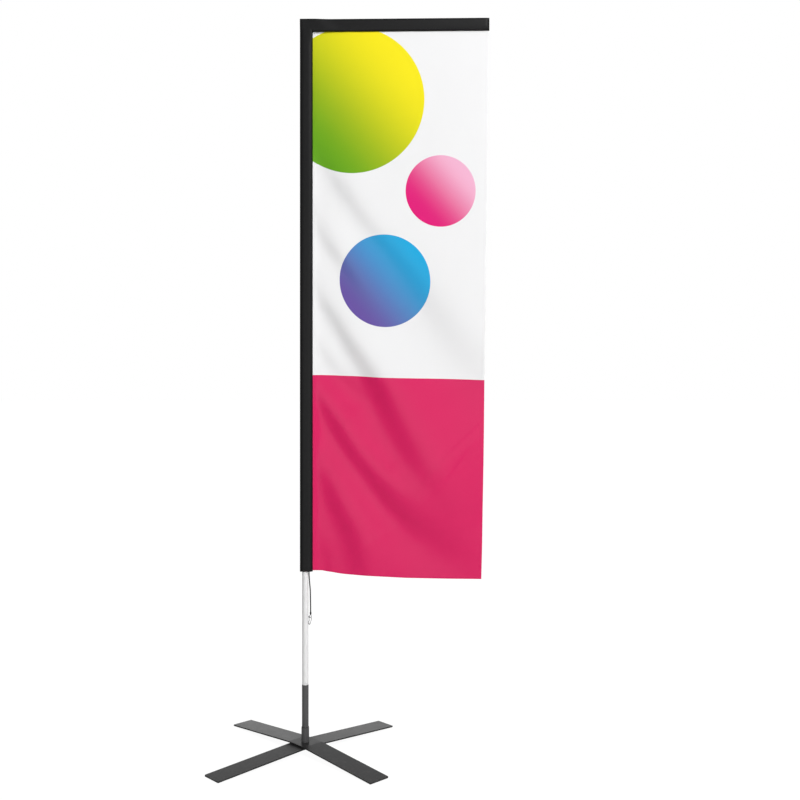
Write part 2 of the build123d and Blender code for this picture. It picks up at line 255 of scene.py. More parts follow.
def bar_wear(turn):
    """Chipped coating along a bar's long edges and round its tips."""
    def worn(s):
        x, y, _ = s.parts(s.place)
        cos, sin = math.cos(turn), math.sin(turn)
        length = s.math("ABSOLUTE", s.math("MULTIPLY_ADD", x, cos, s.math("MULTIPLY", y, sin)))
        across = s.math("ABSOLUTE", s.math("MULTIPLY_ADD", x, -sin, s.math("MULTIPLY", y, cos)))
        side = s.fade(across, BAR_HALF_WIDTH - 0.0004, BAR_HALF_WIDTH)
        tip = s.fade(length, BAR_HALF_LENGTH - 0.0007, BAR_HALF_LENGTH)
        edge = s.math("MAXIMUM", side, tip)
        chips = s.math("MULTIPLY", s.fade(s.noise(120, 5), 0.66, 0.74), 0.5)
        rub = s.math("MULTIPLY", s.fade(s.noise(22, 3), 0.45, 0.65), 0.05)
        scratch = s.fade(s.noise(1, 3, s.stretched((400, 30, 30))), 0.72, 0.76, 0.0, 0.12)
        return s.math("ADD", s.math("MULTIPLY", edge, s.math("MAXIMUM", chips, rub)), scratch, clamp=True)
    return worn


def tube_wear(*rims):
    """Chipped coating round the rims at the given heights."""
    def worn(s):
        z = s.parts(s.place)[2]
        share = 0.0
        for rim in rims:
            near = s.fade(s.math("ABSOLUTE", s.math("SUBTRACT", z, rim)), 0.0, 0.0012, 1.0, 0.0)
            share = s.math("MAXIMUM", share, near)
        chips = s.fade(s.noise(420, 5), 0.46, 0.56, 0.1, 0.8)
        return s.math("MULTIPLY", share, chips)
    return worn


def white_lacquer():
    """White lacquer on drawn tube, rubbed where the pole slides into the socket."""
    s = Surface("white_lacquer", (0.78, 0.78, 0.78), 0.28, Coat_Weight=0.3, Coat_Roughness=0.12)
    z = s.parts(s.place)[2]
    rub = s.fade(s.math("ABSOLUTE", s.math("SUBTRACT", z, SOCKET_RIM + 0.003)), 0.0, 0.012, 0.5, 0.0)
    rub = s.math("MULTIPLY", rub, s.fade(s.noise(300, 4), 0.4, 0.65))
    drawn = s.noise(1, 4, s.stretched((900, 900, 9)))
    base = s.mix(s.fade(s.noise(25, 4), 0.3, 0.8), (0.88, 0.88, 0.88), (0.83, 0.83, 0.835))
    s.set("Base Color", s.mix(rub, base, (0.33, 0.33, 0.34)))
    s.set("Roughness", s.math("MULTIPLY_ADD", drawn, 0.16, 0.2))
    s.bump(drawn, 0.12, 0.0001, s.bump(s.noise(500, 2), 0.08, 0.0001))
    return s.material


def metal(name, color, roughness, grain=(1, 1, 1), scale=700):
    s = Surface(name, color, roughness, Metallic=1.0)
    lines = s.noise(scale, 4, s.stretched(grain))
    patch = s.noise(180, 4)
    darker = tuple(0.72 * c for c in color)
    s.set("Base Color", s.mix(s.fade(patch, 0.35, 0.75), color, darker))
    s.set("Roughness", s.math("MULTIPLY_ADD", lines, 0.25, roughness - 0.1))
    s.bump(lines, 0.2, 0.00005)
    return s.material


def moulded(name, color, roughness):
    s = Surface(name, color, roughness)
    cloud = s.noise(90, 3)
    lighter = tuple(1.35 * c + 0.004 for c in color)
    s.set("Base Color", s.mix(cloud, color, lighter))
    s.set("Roughness", s.math("MULTIPLY_ADD", cloud, 0.2, roughness - 0.1))
    s.bump(s.noise(1500, 2), 0.3, 0.00008)
    return s.material


def weave(s, pitch):
    """The cloth's flat coordinates, in metres, with their two parts and a plain weave's height."""
    flat = s.node("ShaderNodeUVMap", uv_map="flat").outputs[0]
    u, v, _ = s.parts(flat)
    turns = 2 * math.pi / pitch
    warp = s.math("SINE", s.math("MULTIPLY", u, turns))
    weft = s.math("SINE", s.math("MULTIPLY", v, turns))
    return flat, u, v, s.math("MULTIPLY", warp, weft)


def black_cloth():
    s = Surface("black_polyester", (0.005, 0.005, 0.0055), 0.5, Specular_IOR_Level=0.2)
    flat, _, _, threads = weave(s, 0.0007)
    slub = s.noise(1, 4, s.stretched((260, 1500, 1), flat))
    base = s.mix(slub, (0.0030, 0.0030, 0.0033), (0.0070, 0.0070, 0.0075))
    lint = s.fade(s.noise(700, 2), 0.76, 0.80, 0.0, 0.25)
    s.set("Base Color", s.mix(lint, base, (0.05, 0.05, 0.05)))
    s.set("Roughness", s.math("MULTIPLY_ADD", slub, 0.2, 0.42))
    s.bump(threads, 0.18, 0.00012, s.bump(s.noise(55, 4), 0.12, 0.002))
    return s.material


def cord_braid():
    s = Surface("black_braid", (0.004, 0.004, 0.004), 0.62, Specular_IOR_Level=0.08)
    fleck = s.noise(2600, 2)
    s.set("Base Color", s.mix(fleck, (0.002, 0.002, 0.0025), (0.007, 0.007, 0.008)))
    s.bump(fleck, 0.5, 0.0001)
    return s.material


def thread(name, color):
    s = Surface(name, color, 0.5, Sheen_Weight=0.1)
    twist = s.noise(3000, 2)
    s.set("Base Color", s.mix(twist, tuple(0.75 * c for c in color), color))
    s.bump(twist, 0.4, 0.00005)
    return s.material


# The print, on the panel's flat coordinates in metres: across from the sleeve, and down
# from the pocket. Each round: centre, diameter, its two colours and the fade's curve.
PRINT_ROUNDS = (
    ((0.146, 0.250), 0.530, (108, 170, 42), (252, 236, 34), 1.15),
    ((0.473, 0.577), 0.256, (229, 36, 127), (247, 186, 214), 1.6),
    ((0.271, 0.903), 0.335, (112, 92, 166), (48, 176, 229), 0.93),
)
PRINT_TURN = math.radians(42)
PINK_BEGINS = 1.2515
INK_EDGE = 0.0006           # half the width over which one ink gives way to the next
PINK = (0.70, 0.0065, 0.112)
WHITE = (0.86, 0.86, 0.865)


def ink_rgb(*color):
    """Colour of an ink that has the given sRGB colour with the studio's gloss on it."""
    return tuple(max((c - 0.028) / 1.02, 0.002) for c in rgb(*color))


def printed_cloth():
    s = Surface("printed_polyester", WHITE, 0.29, Specular_IOR_Level=0.11)
    flat, u, v, threads = weave(s, 0.0006)
    down = s.math("SUBTRACT", 0.0, v)
    ink = s.fade(down, PINK_BEGINS - INK_EDGE, PINK_BEGINS + INK_EDGE)
    color = s.mix(ink, WHITE, PINK)
    cos, sin = math.cos(PRINT_TURN), math.sin(PRINT_TURN)
    for (across, deep), size, dark, light, curve in PRINT_ROUNDS:
        x = s.math("SUBTRACT", u, across)
        y = s.math("SUBTRACT", deep, down)
        away = s.math("SQRT", s.math("MULTIPLY_ADD", x, x, s.math("MULTIPLY", y, y)))
        inside = s.fade(away, size / 2 - INK_EDGE, size / 2 + INK_EDGE, 1.0, 0.0)
        climb = s.math("MULTIPLY_ADD", x, cos, s.math("MULTIPLY", y, sin))
        share = s.math("POWER", s.fade(climb, -0.46 * size, 0.46 * size), curve)
        color = s.mix(inside, color, s.mix(share, ink_rgb(*dark), ink_rgb(*light)))
    mottle = s.noise(1, 3, s.stretched((340, 340, 1), flat))
    s.set("Base Color", s.mix(s.math("MULTIPLY", mottle, 0.05), color, (0.5, 0.5, 0.5)))
    s.set("Roughness", s.math("MULTIPLY_ADD", mottle, 0.08, 0.25))
    s.bump(threads, 0.10, 0.0001)
    return s.material


def webbing():
    s = Surface("black_webbing", (0.010, 0.010, 0.011), 0.6)
    x, _, z = s.parts(s.place)
    ribs = s.math("SINE", s.math("MULTIPLY", s.math("ADD", x, z), 2 * math.pi / 0.0014))
    s.set("Base Color", s.mix(s.noise(1200, 2), (0.007, 0.007, 0.008), (0.02, 0.02, 0.022)))
    s.bump(ribs, 0.4, 0.0002)
    return s.material


# ------------------------------------------------------------------ tension cord

# The cord's points: inside the sleeve's hem, out past its edge and down.
CORD_ROUTE = [
    (0.0134, 0.0, 0.662),
    (0.0134, 0.0, 0.641),
    (0.0156, 0.0, 0.613),
    (0.0183, 0.0, 0.585),
    (0.0187, 0.0, 0.556),
    (0.0195, 0.0, 0.529),
    (0.0195, 0.0, 0.506),
]
CORD_DIAMETER = 4.2 * MM
BRAID_PITCH = 0.0085
BRAID_STRANDS = 8


def spline_points(points, resolution):
    """Points of the smooth line that has these as its control points."""
    curve = bpy.data.curves.new("line", "CURVE")
    curve.dimensions = "3D"
    spline = curve.splines.new("NURBS")
    spline.points.add(len(points) - 1)
    for made, place in zip(spline.points, points):
        made.co = (*place, 1)
    spline.order_u = 3
    spline.use_endpoint_u = True
    spline.resolution_u = resolution
    holder = bpy.data.objects.new("line", curve)
    mesh = bpy.data.meshes.new_from_object(holder)
    line = np.array([v.co for v in mesh.vertices])
    bpy.data.objects.remove(holder)
    bpy.data.meshes.remove(mesh)
    return line


def round_along(name, line, radius, sides):
    """Tube along a line in an XZ plane, whose radius is a function of angle and distance."""
    tangent = np.gradient(line, axis=0)
    tangent /= np.linalg.norm(tangent, axis=1)[:, None]
    depth = np.tile([0.0, 1.0, 0.0], (len(line), 1))
    side = np.cross(tangent, depth)
    angle = np.linspace(0, 2 * np.pi, sides, endpoint=False)
    far = along(line)
    r = radius(angle[None, :], far[:, None])
    ring = side[:, None] * np.cos(angle)[None, :, None] + depth[:, None] * np.sin(angle)[None, :, None]
    verts = (line[:, None] + ring * r[..., None]).reshape(-1, 3)
    return mesh_object(name, verts, tube_faces(len(line), sides))


def braid_radius(angle, far):
    """Radius of an eight-over-eight braid: two families of strands that cross."""
    turn = 2 * np.pi / BRAID_PITCH / BRAID_STRANDS * far * 1.6
    left = np.cos(BRAID_STRANDS * (angle + turn))
    right = np.cos(BRAID_STRANDS * (angle - turn))
    return CORD_DIAMETER / 2 * (0.965 + 0.05 * np.maximum(left, right))


cord_line = spline_points(CORD_ROUTE, 110)
cord = round_along("cord_braid", cord_line, braid_radius, 48)
cord.data.materials.append(cord_braid())


def whipping(name):
    """Thread wound round the doubled end of the cord, from the ring up."""
    low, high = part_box("cord_knot")
    centre = (low + high) / 2
    height = (high - low).z
    full = (high - low).x / 2
    rows, sides = 150, 48
    t = np.linspace(0, 1, rows)[:, None]
    angle = np.linspace(0, 2 * np.pi, sides, endpoint=False)[None, :]
    turns = 9
    body = 0.84 * full * (1 - 0.55 * np.abs(2 * t - 1) ** 5)
    coil = np.abs(np.sin(np.pi * turns * t - angle / 2)) ** 0.6
    wound = step(t, 0.06, 0.14) * (1 - step(t, 0.86, 0.94))
    r = body + 0.14 * full * coil * wound
    z = low.z + height * (0.004 + 0.992 * t)
    verts = np.stack([centre.x + r * np.cos(angle), centre.y + r * np.sin(angle), z + 0 * angle], -1)
    return mesh_object(name, verts.reshape(-1, 3), tube_faces(rows, sides))


knot = whipping("cord_whipping")
knot.data.materials.append(cord_braid())


# ------------------------------------------------------------------ black sleeve and pocket

# Sizes in mm
BORDER = 46.5               # width of the black cloth
BORDER_LEFT = 19.3          # pole's axis to the sleeve's outer edge
FLAG_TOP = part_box("top_pocket")[1].z * 1000
FLAG_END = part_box("top_pocket")[1].x * 1000
SLEEVE_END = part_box("pole_sleeve")[0].z * 1000
CLOTH = 0.8                 # thickness
HEM_STEP = 0.55             # how far the doubled cloth of the sleeve's hem stands out
RIPPLE = 0.022              # soft creases, as a share of the depth
SECTION_COUNT = 72


def border_section(depth, fullness):
    """Outline of the cloth round a tube, as (across, depth) in mm: from the outer fold
    over the front to the seam, and back behind the tube. A fuller one has a flatter front."""
    a = np.linspace(0, np.pi, 400)
    half = BORDER / 2
    x = half - half * np.sign(np.cos(a)) * np.abs(np.cos(a)) ** (2 / fullness)
    y = -depth * np.sin(a) ** (2 / fullness)
    front = respaced(np.stack([x, y], 1), SECTION_COUNT // 2 + 1)
    back = front[1:-1][::-1] * [1, -1]
    return np.vstack([front, back])


def respaced(points, count):
    """The given number of points, evenly spaced along a polyline."""
    far = along(points)
    at = np.linspace(0, far[-1], count)
    return np.stack([np.interp(at, far, points[:, k]) for k in range(points.shape[1])], 1)


def cloth_shell(name, outer, inner):
    """Closed shell of two (rings, section, 3) grids in mm, joined at both ends."""
    rings, count, _ = outer.shape
    verts = np.vstack([outer.reshape(-1, 3), inner.reshape(-1, 3)]) * MM
    faces = grid_faces(rings, count, closed=True)
    faces += grid_faces(rings, count, rings * count, closed=True, flip=True)
    for i, flip in ((0, True), (rings - 1, False)):
        for j in range(count):
            a, b = i * count + j, i * count + (j + 1) % count
            quad = (a, b, b + rings * count, a + rings * count)
            faces.append(quad[::-1] if flip else quad)
    across = along(np.vstack([outer[0], outer[0][:1]])) * MM
    down = along(outer[:, 0]) * MM
    uvs = []
    for face in faces:
        columns = [q % count for q in face]
        wraps = max(columns) == count - 1 and min(columns) == 0
        for q in face:
            i, j = q % (rings * count) // count, q % count
            uvs.append((across[count if wraps and j == 0 else j], down[i]))
    return mesh_object(name, verts, faces, uvs, rim=2 * count)


def ripple(far, angle, seed):
    """Small soft creases, in mm, for a place along and a place round the sleeve."""
    waves = 0.0
    for k in range(1, 6):
        phase = seed * 1.7 + k * 2.39
        waves = waves + np.sin(far / (31 * k) + phase + (k % 3 - 1) * angle) / (1.5 + k)
    return waves


def border_shell(name, place, rings, section_at, hem, seed, close):
    """Sleeve or pocket. place(across, t) gives the (x, z) of a point, section_at(far) the
    outline there; hem is the doubled cloth's length at the open end, close pinches the end."""
    across0 = section_at(0.0)[:, 0]
    near_end = 0.0004           # a ring close to each end keeps the cut edge crisp
    t = np.concatenate([[0], np.linspace(near_end, 1 - near_end, rings - 2), [1]])
    x, z = place(across0[None, :], t[:, None])
    far = np.hypot(x - x[:1], z - z[:1])
    outline = np.stack([section_at(d) for d in far.mean(1)])
    angle = np.linspace(0, 2 * np.pi, SECTION_COUNT, endpoint=False)[None, :]
    x, z = place(outline[..., 0], t[:, None])
    depth = outline[..., 1]
    mitre = far if close else far.max(0) - far
    bulge = 1 + RIPPLE * ripple(far, angle, seed) * step(np.abs(depth), 0.5, 4) * step(mitre, 4, 90)
    if close:
        pinch = 0.10 + 0.90 * np.sqrt(step(FLAG_END - x, -3.0, 9.0))
        bulge = bulge * pinch
    thick = np.full_like(depth, CLOTH)
    out = np.zeros_like(depth)
    if hem:
        doubled = 1 - step(z, SLEEVE_END + hem - 0.4, SLEEVE_END + hem + 0.4)
        out = HEM_STEP * doubled
    outer = np.stack([x, depth * bulge + np.sign(depth) * out, z], -1)
    shrink = 1 - (thick + out) / np.maximum(np.abs(depth) + 1.2, 2.4)
    inner = np.stack([x, depth * bulge * np.clip(shrink, 0.1, 1), z], -1)
    return cloth_shell(name, outer, inner)


def sleeve_place(across, t):
    """(x, z) at a distance across the sleeve and a share of the way up to the corner's seam."""
    top = FLAG_TOP - across
    return across - BORDER_LEFT + 0 * t, SLEEVE_END + t * (top - SLEEVE_END)


def pocket_place(across, t):
    """(x, z) at a distance across the pocket and a share of the way out from the corner's seam."""
    start = across - BORDER_LEFT
    return start + t * (FLAG_END - start), FLAG_TOP - across + 0 * t


# The cloth's outline round the pole, round the arm and at the corner
POLE_SECTION = border_section(12.8, 3.4)
ARM_SECTION = border_section(9.6, 3.0)
CORNER_SECTION = border_section(12.8, 6.0)


def sleeve_section(far):
    share = step(far, 1930.0, 1975.0)
    return POLE_SECTION * (1 - share) + CORNER_SECTION * share


def pocket_section(far):
    share = step(far, 45.0, 120.0)
    return CORNER_SECTION * (1 - share) + ARM_SECTION * share


sleeve = border_shell("sleeve_cloth", sleeve_place, 200, sleeve_section, 26.0, 1.0, False)
pocket = border_shell("pocket_cloth", pocket_place, 90, pocket_section, 0.0, 2.0, True)
black = black_cloth()
for piece in (sleeve, pocket):
    piece.data.materials.append(black)


# ------------------------------------------------------------------ printed panel

PANEL_LEFT = BORDER - BORDER_LEFT
PANEL_TOP = FLAG_TOP - BORDER
TUCK = 4.0                  # cloth sewn in under the black edge
PANEL_WIDTH, PANEL_DROP = 642.0, 1962.0
HEM = 12.0
HEM_SEAM = 9.0              # the hem's row of stitches, from the edge
LIP = 0.8                   # the rounded edge of the hem
CLOTH_FACE = 0.28           # the single cloth's faces, in front of and behind its middle
HEM_FACE = 1.15             # the hem's back
LIP_FACES = (0.05, 0.75)    # the outermost edge's front and back

# The hanging cloth's free edge, as heights and places across, and its lower edge, as places
# across and heights
RIGHT_EDGE = ((2620, 667.0), (2352, 664.7), (2207, 662.8), (1916, 658.6), (1626, 655.6), (1481, 652.9),
              (1335, 651.5), (1190, 650.2), (1045, 648.4), (900, 645.6), (755, 643.5), (628, 640.4))
LOWER_EDGE = ((27, 656.5), (61, 656.5), (79, 653), (101, 650), (119, 646.5), (145, 643.2),
              (220, 637), (367, 630), (520, 627.6), (641, 627))

FOLD_STEEPNESS = 1.9
FOLD_DROP = 0.12            # how far the cloth drops for each mm that a fold stands out
SLEEVE_HOLD = 14.0          # the folds grow over this distance from the sleeve,
POCKET_HOLD = 60.0          # and over this distance from the pocket
EDGE_DROOP = 25.0           # the free edge's lower end hangs this far below the sleeve's
EDGE_WAVE = 5.0             # slow wave down the free edge
SOFT_WAVE = 1.2             # faint unevenness all over the held cloth

# Folds that fall away from the sleeve. Each point: its place across and height in mm, how
# dark the fold's lower left side looks there, and the fold's half width in mm, or its two
# half widths, below and above.
FOLDS = (
    ((10, 2230, 0.0, 36), (61, 2151, 0.08, 36), (145, 2027, 0.18, 37), (177, 1984, 0.16, 37),
     (239, 1896, 0.14, 42), (345, 1780, 0.12, 60), (473, 1590, 0.11, 90), (531, 1503, 0.1, 95),
     (600, 1415, 0.09, 95), (645, 1350, 0.07, 95), (740, 1210, 0.0, 95)),
    ((10, 1990, 0.0, 34), (32, 1947, 0.07, 34), (57, 1889, 0.13, 34), (79, 1852, 0.18, 34),
     (108, 1809, 0.18, 34), (152, 1750, 0.15, 36), (199, 1678, 0.1, 38), (243, 1605, 0.05, 40),
     (290, 1532, 0.0, 40)),
    ((2, 1760, 0.0, 34), (24, 1714, 0.06, 34), (61, 1634, 0.18, 34), (94, 1590, 0.23, 34),
     (145, 1503, 0.3, 35), (203, 1415, 0.29, 42), (232, 1371, 0.28, 46), (269, 1299, 0.24, 56),
     (301, 1226, 0.21, 59), (338, 1153, 0.19, 64, 66), (378, 1080, 0.18, 64, 68),
     (429, 1007, 0.14, 64, 70), (491, 934, 0.08, 64, 70), (527, 861, 0.05, 64, 70),
     (564, 788, 0.0, 64, 70)),
    ((5, 1562, 0.0, 28), (35, 1503, 0.08, 28), (57, 1459, 0.14, 29), (90, 1415, 0.14, 30),
     (126, 1371, 0.13, 30), (159, 1335, 0.11, 32), (192, 1299, 0.07, 34), (228, 1262, 0.0, 34)),
    ((8, 1370, 0.0, 33), (28, 1330, 0.06, 33), (57, 1262, 0.16, 33), (79, 1226, 0.18, 33),
     (123, 1153, 0.21, 33, 38), (167, 1080, 0.22, 34, 40), (228, 1007, 0.22, 38, 42),
     (254, 971, 0.23, 36, 50), (312, 898, 0.23, 36, 64), (352, 861, 0.21, 40, 74),
     (389, 825, 0.18, 46, 78), (454, 788, 0.14, 56, 80), (509, 752, 0.1, 60, 80),
     (564, 708, 0.06, 60, 80), (680, 620, 0.0, 60, 80)),
    ((10, 1120, 0.0, 42), (32, 1072, 0.05, 42), (57, 1007, 0.13, 44), (90, 934, 0.17, 47),
     (123, 861, 0.19, 46, 44), (163, 788, 0.18, 50, 46), (181, 716, 0.17, 56, 50),
     (199, 639, 0.14, 56, 50), (214, 560, 0.1, 56, 50)),
    ((10, 930, 0.0, 28), (34, 850, 0.04, 28), (57, 766, 0.07, 28), (75, 708, 0.09, 28),
     (92, 600, 0.09, 28)),
)


def fold_height(s, z):
    """How far the hanging cloth stands out at each place, in mm."""
    total = np.zeros_like(s)
    for points in FOLDS:
        line = chaikin([p if len(p) == 5 else (*p, p[3]) for p in points], 2)
        best = np.full(s.shape, 1e9)
        side, dark, below, above = (np.zeros(s.shape) for _ in range(4))
        for a, b in zip(line, line[1:]):
            d = b[:2] - a[:2]
            t = np.clip(((s - a[0]) * d[0] + (z - a[1]) * d[1]) / (d @ d), 0, 1)
            away = np.hypot(s - a[0] - t * d[0], z - a[1] - t * d[1])
            near = away < best
            best = np.where(near, away, best)
            side = np.where(near, np.sign(d[0] * (z - a[1]) - d[1] * (s - a[0])), side)
            dark, below, above = (np.where(near, a[k] + t * (b[k] - a[k]), old)
                                  for k, old in ((2, dark), (3, below), (4, above)))
        half = np.where(side > 0, above, below)
        rise = FOLD_STEEPNESS * dark * half * np.tanh(best / half)
        total += side * rise * np.exp(-(best / (3.2 * half)) ** 1.5)
    return total


def panel_at(u, v):
    """Places in mm of the cloth at shares u across and v down its hanging shape. A place that
    stands out towards the camera moves in, so that the cloth's outline stays where it is seen."""
    low_end = LOWER_EDGE[-1][1]
    drop = PANEL_TOP - SLEEVE_END
    z_guess = PANEL_TOP + TUCK - v * (drop + TUCK)
    heights, edges = zip(*RIGHT_EDGE[::-1])
    right = np.interp(z_guess - EDGE_DROOP * v, heights, edges)
    left = PANEL_LEFT - TUCK
    s = left + u * (right - left)
    across, lower = zip(*LOWER_EDGE)
    curved = np.interp(s, across, lower)
    straight = lower[0] + (s - left) / (right - left) * (low_end - lower[0])
    bottom = straight + (curved - straight) * v ** 4
    top = PANEL_TOP + TUCK
    z = top + v * (bottom - top)
    held = 1 - np.exp(-(s - PANEL_LEFT).clip(0) / SLEEVE_HOLD)
    held = held * (1 - np.exp(-(PANEL_TOP - z).clip(0) / POCKET_HOLD))
    h = fold_height(s, z) * held
    free = step(u, 0.35, 1.0) * step(v, 0.0, 0.5)
    h = h + EDGE_WAVE * free * np.sin(z / 260.0 + 0.8) + SOFT_WAVE * held * np.sin(z / 90 - s / 120)
    z = z - FOLD_DROP * h * held * (1 - step(v, 0.93, 1.0))
    nearer = 1 + h / CAMERA_PLACE[1] / 1000
    seen_x, seen_z = CAMERA_PLACE[0] * 1000, CAMERA_PLACE[2] * 1000
    return np.stack([seen_x + (s - seen_x) * nearer, -h, seen_z + (z - seen_z) * nearer], -1)


def panel_grid():
    """Shares across and down of the panel's grid, with closer lines at the two hems."""
    hem_u, hem_v = HEM / PANEL_WIDTH, HEM / PANEL_DROP
    lip_u, lip_v = LIP / PANEL_WIDTH, LIP / PANEL_DROP
    u = np.concatenate([np.linspace(0, 1 - hem_u - lip_u, 106), [1 - hem_u, 1 - hem_u / 2, 1 - lip_u, 1]])
    v = np.concatenate([np.linspace(0, 1 - hem_v - lip_v, 326), [1 - hem_v, 1 - hem_v / 2, 1 - lip_v, 1]])
    return np.meshgrid(u, v)


def grid_normals(places):
    """Unit normals of a grid of places, all towards the front."""
    down = np.gradient(places, axis=0)
    right = np.gradient(places, axis=1)
    n = np.cross(right, down)
    n /= np.linalg.norm(n, axis=-1, keepdims=True)
    return n * -np.sign(n[..., 1:2])


def printed_panel():
    """Thin cloth with a doubled hem at its free and its lower edge."""
    u, v = panel_grid()
    places = panel_at(u, v)
    normal = grid_normals(places)
    hemmed = (u >= 1 - HEM / PANEL_WIDTH - 1e-9) | (v >= 1 - HEM / PANEL_DROP - 1e-9)
    rim = (u == 1) | (v == 1)
    front = np.where(rim, LIP_FACES[0], CLOTH_FACE)[..., None]
    back = np.where(rim, LIP_FACES[1], np.where(hemmed, HEM_FACE, CLOTH_FACE))[..., None]
    verts = np.vstack([(places + normal * front).reshape(-1, 3), (places - normal * back).reshape(-1, 3)])
    faces, rim_faces = sheet_faces(*u.shape)
    flat_u = (u * PANEL_WIDTH * MM).ravel()
    flat_v = (-v * PANEL_DROP * MM).ravel()
    uvs = [(flat_u[q % u.size], flat_v[q % u.size]) for face in faces for q in face]
    return mesh_object("banner_panel", verts * MM, faces, uvs, rim=rim_faces)


panel = printed_panel()
panel.data.materials.append(printed_cloth())


# ------------------------------------------------------------------ stitching

# Pitch, length and width of a stitch in mm
HEM_STITCH = (3.2, 2.3, 0.42)
SEAM_STITCH = (3.4, 2.4, 0.45)
SEAM_ROWS = (("a", 2.2), ("b", 7.0))    # each row and its distance from the panel
THREAD_LIFT = 0.12                      # a seam thread's middle, off the black cloth


def stitches(name, line, normals, pitch, length, width, material, body="mast"):
    """Row of thread stitches, one spindle each, on a line in mm with its normals."""
    far = along(line)
    at = np.arange(pitch / 2, far[-1], pitch)
    place = np.stack([np.interp(at, far, line[:, k]) for k in range(3)], 1)
    out = np.stack([np.interp(at, far, normals[:, k]) for k in range(3)], 1)
    out /= np.linalg.norm(out, axis=1)[:, None]
    ahead = np.gradient(place, axis=0)
    ahead /= np.linalg.norm(ahead, axis=1)[:, None]
    side = np.cross(ahead, out)
    shape = (
        place - ahead * length / 2 - out * 0.1, place + side * width / 2 + out * 0.05,
        place + out * width / 2, place - side * width / 2 + out * 0.05,
        place - out * width / 2, place + ahead * length / 2 - out * 0.1,
    )
    verts = np.stack(shape, 1).reshape(-1, 3) * MM
    one = [(0, 1, 2), (0, 2, 3), (0, 3, 4), (0, 4, 1), (5, 2, 1), (5, 3, 2), (5, 4, 3), (5, 1, 4)]
    faces = [tuple(6 * k + q for q in face) for k in range(len(at)) for face in one]
    obj = mesh_object(name, verts, faces)
    obj.data.materials.append(material)
    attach(obj, body)
    return obj


def panel_line(u, v, lift):
    """A line off the panel's front, or off its back where lift is negative, and its normals."""
    places = panel_at(u, v)
    nudge = 2e-4
    right = panel_at(np.minimum(u + nudge, 1), v) - panel_at(u - nudge, v)
    down = panel_at(u, np.minimum(v + nudge, 1)) - panel_at(u, v - nudge)
    n = np.cross(right, down)
    n /= np.linalg.norm(n, axis=1)[:, None]
    n = n * -np.sign(n[:, 1:2])
    return places + n * lift, n * np.sign(lift)


white_thread = thread("white_thread", (0.80, 0.80, 0.80))
pink_thread = thread("pink_thread", (0.62, 0.01, 0.10))
black_thread = thread("black_thread", (0.015, 0.015, 0.016))
hem_share = PINK_BEGINS * 1000 / PANEL_DROP
for side, lift in (("front", CLOTH_FACE + 0.02), ("back", -HEM_FACE - 0.02)):
    for label, first, last, material in (
        ("white", 0.004, hem_share, white_thread), ("pink", hem_share, 0.995, pink_thread),
    ):
        v = np.linspace(first, last, 700)
        line, out = panel_line(np.full_like(v, 1 - HEM_SEAM / PANEL_WIDTH), v, lift)
        stitches(f"hem_thread_{label}_{side}", line, out, *HEM_STITCH, material)
    u = np.linspace(0.008, 0.995, 400)
    line, out = panel_line(u, np.full_like(u, 1 - HEM_SEAM / PANEL_DROP), lift)
    stitches(f"lower_hem_thread_{side}", line, out, *HEM_STITCH, pink_thread)


def border_depth(across, section):
    """How far the black cloth's front stands out at a distance across it."""
    half = section[: SECTION_COUNT // 2 + 1]
    return -np.interp(across, half[:, 0], half[:, 1])


def border_line(across, front):
    """Lines on the black cloth at a distance across it, up the sleeve and out along the
    pocket, meeting at the corner's seam."""
    sign = -1 if front else 1
    lines = []
    for place, section_at in ((sleeve_place, sleeve_section), (pocket_place, pocket_section)):
        x, z = place(across, np.linspace(0, 1, 500))
        depth = np.array([border_depth(across, section_at(d)) for d in np.hypot(x - x[0], z - z[0])])
        lines.append(np.stack([x, sign * (depth + THREAD_LIFT), z], 1))
    return lines


for side in ("front", "back"):
    for row, inset in SEAM_ROWS:
        for label, line in zip(("sleeve", "pocket"), border_line(BORDER - inset, side == "front")):
            out = np.tile([0, -1 if side == "front" else 1, 0], (len(line), 1)).astype(float)
            name = f"seam_thread_{label}_{row}_{side}"
            stitches(name, line[3:-3], out[3:-3], *SEAM_STITCH, black_thread)


# ------------------------------------------------------------------ webbing tab

def webbing_tab():
    """Ribbed tape with rounded edges in the place of the CAD tab."""
    low, high = (np.array(c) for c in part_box("cord_tab"))
    rows, columns = 57, 17
    t, w = np.meshgrid(np.linspace(0, 1, rows), np.linspace(0, 1, columns), indexing="ij")
    x = low[0] + w * (high[0] - low[0])
    z = low[2] + t * (high[2] - low[2])
    rib = 0.5 + 0.5 * np.cos(2 * np.pi * (t * 20 + (np.abs(w - 0.5) * 4)))
    edge = np.sqrt(np.clip(1 - np.abs(2 * w - 1) ** 8, 0, 1))
    half = (high[1] - low[1]) / 2 * (0.35 + 0.45 * edge + 0.2 * rib * edge)
    front = np.stack([x, -half, z], -1).reshape(-1, 3)
    back = np.stack([x, half, z], -1).reshape(-1, 3)
    faces, _ = sheet_faces(rows, columns)
    return mesh_object("tab_webbing", np.vstack([front, back]), faces)


tab = webbing_tab()
tab.data.materials.append(webbing())


# ------------------------------------------------------------------ carried-over CAD nodes

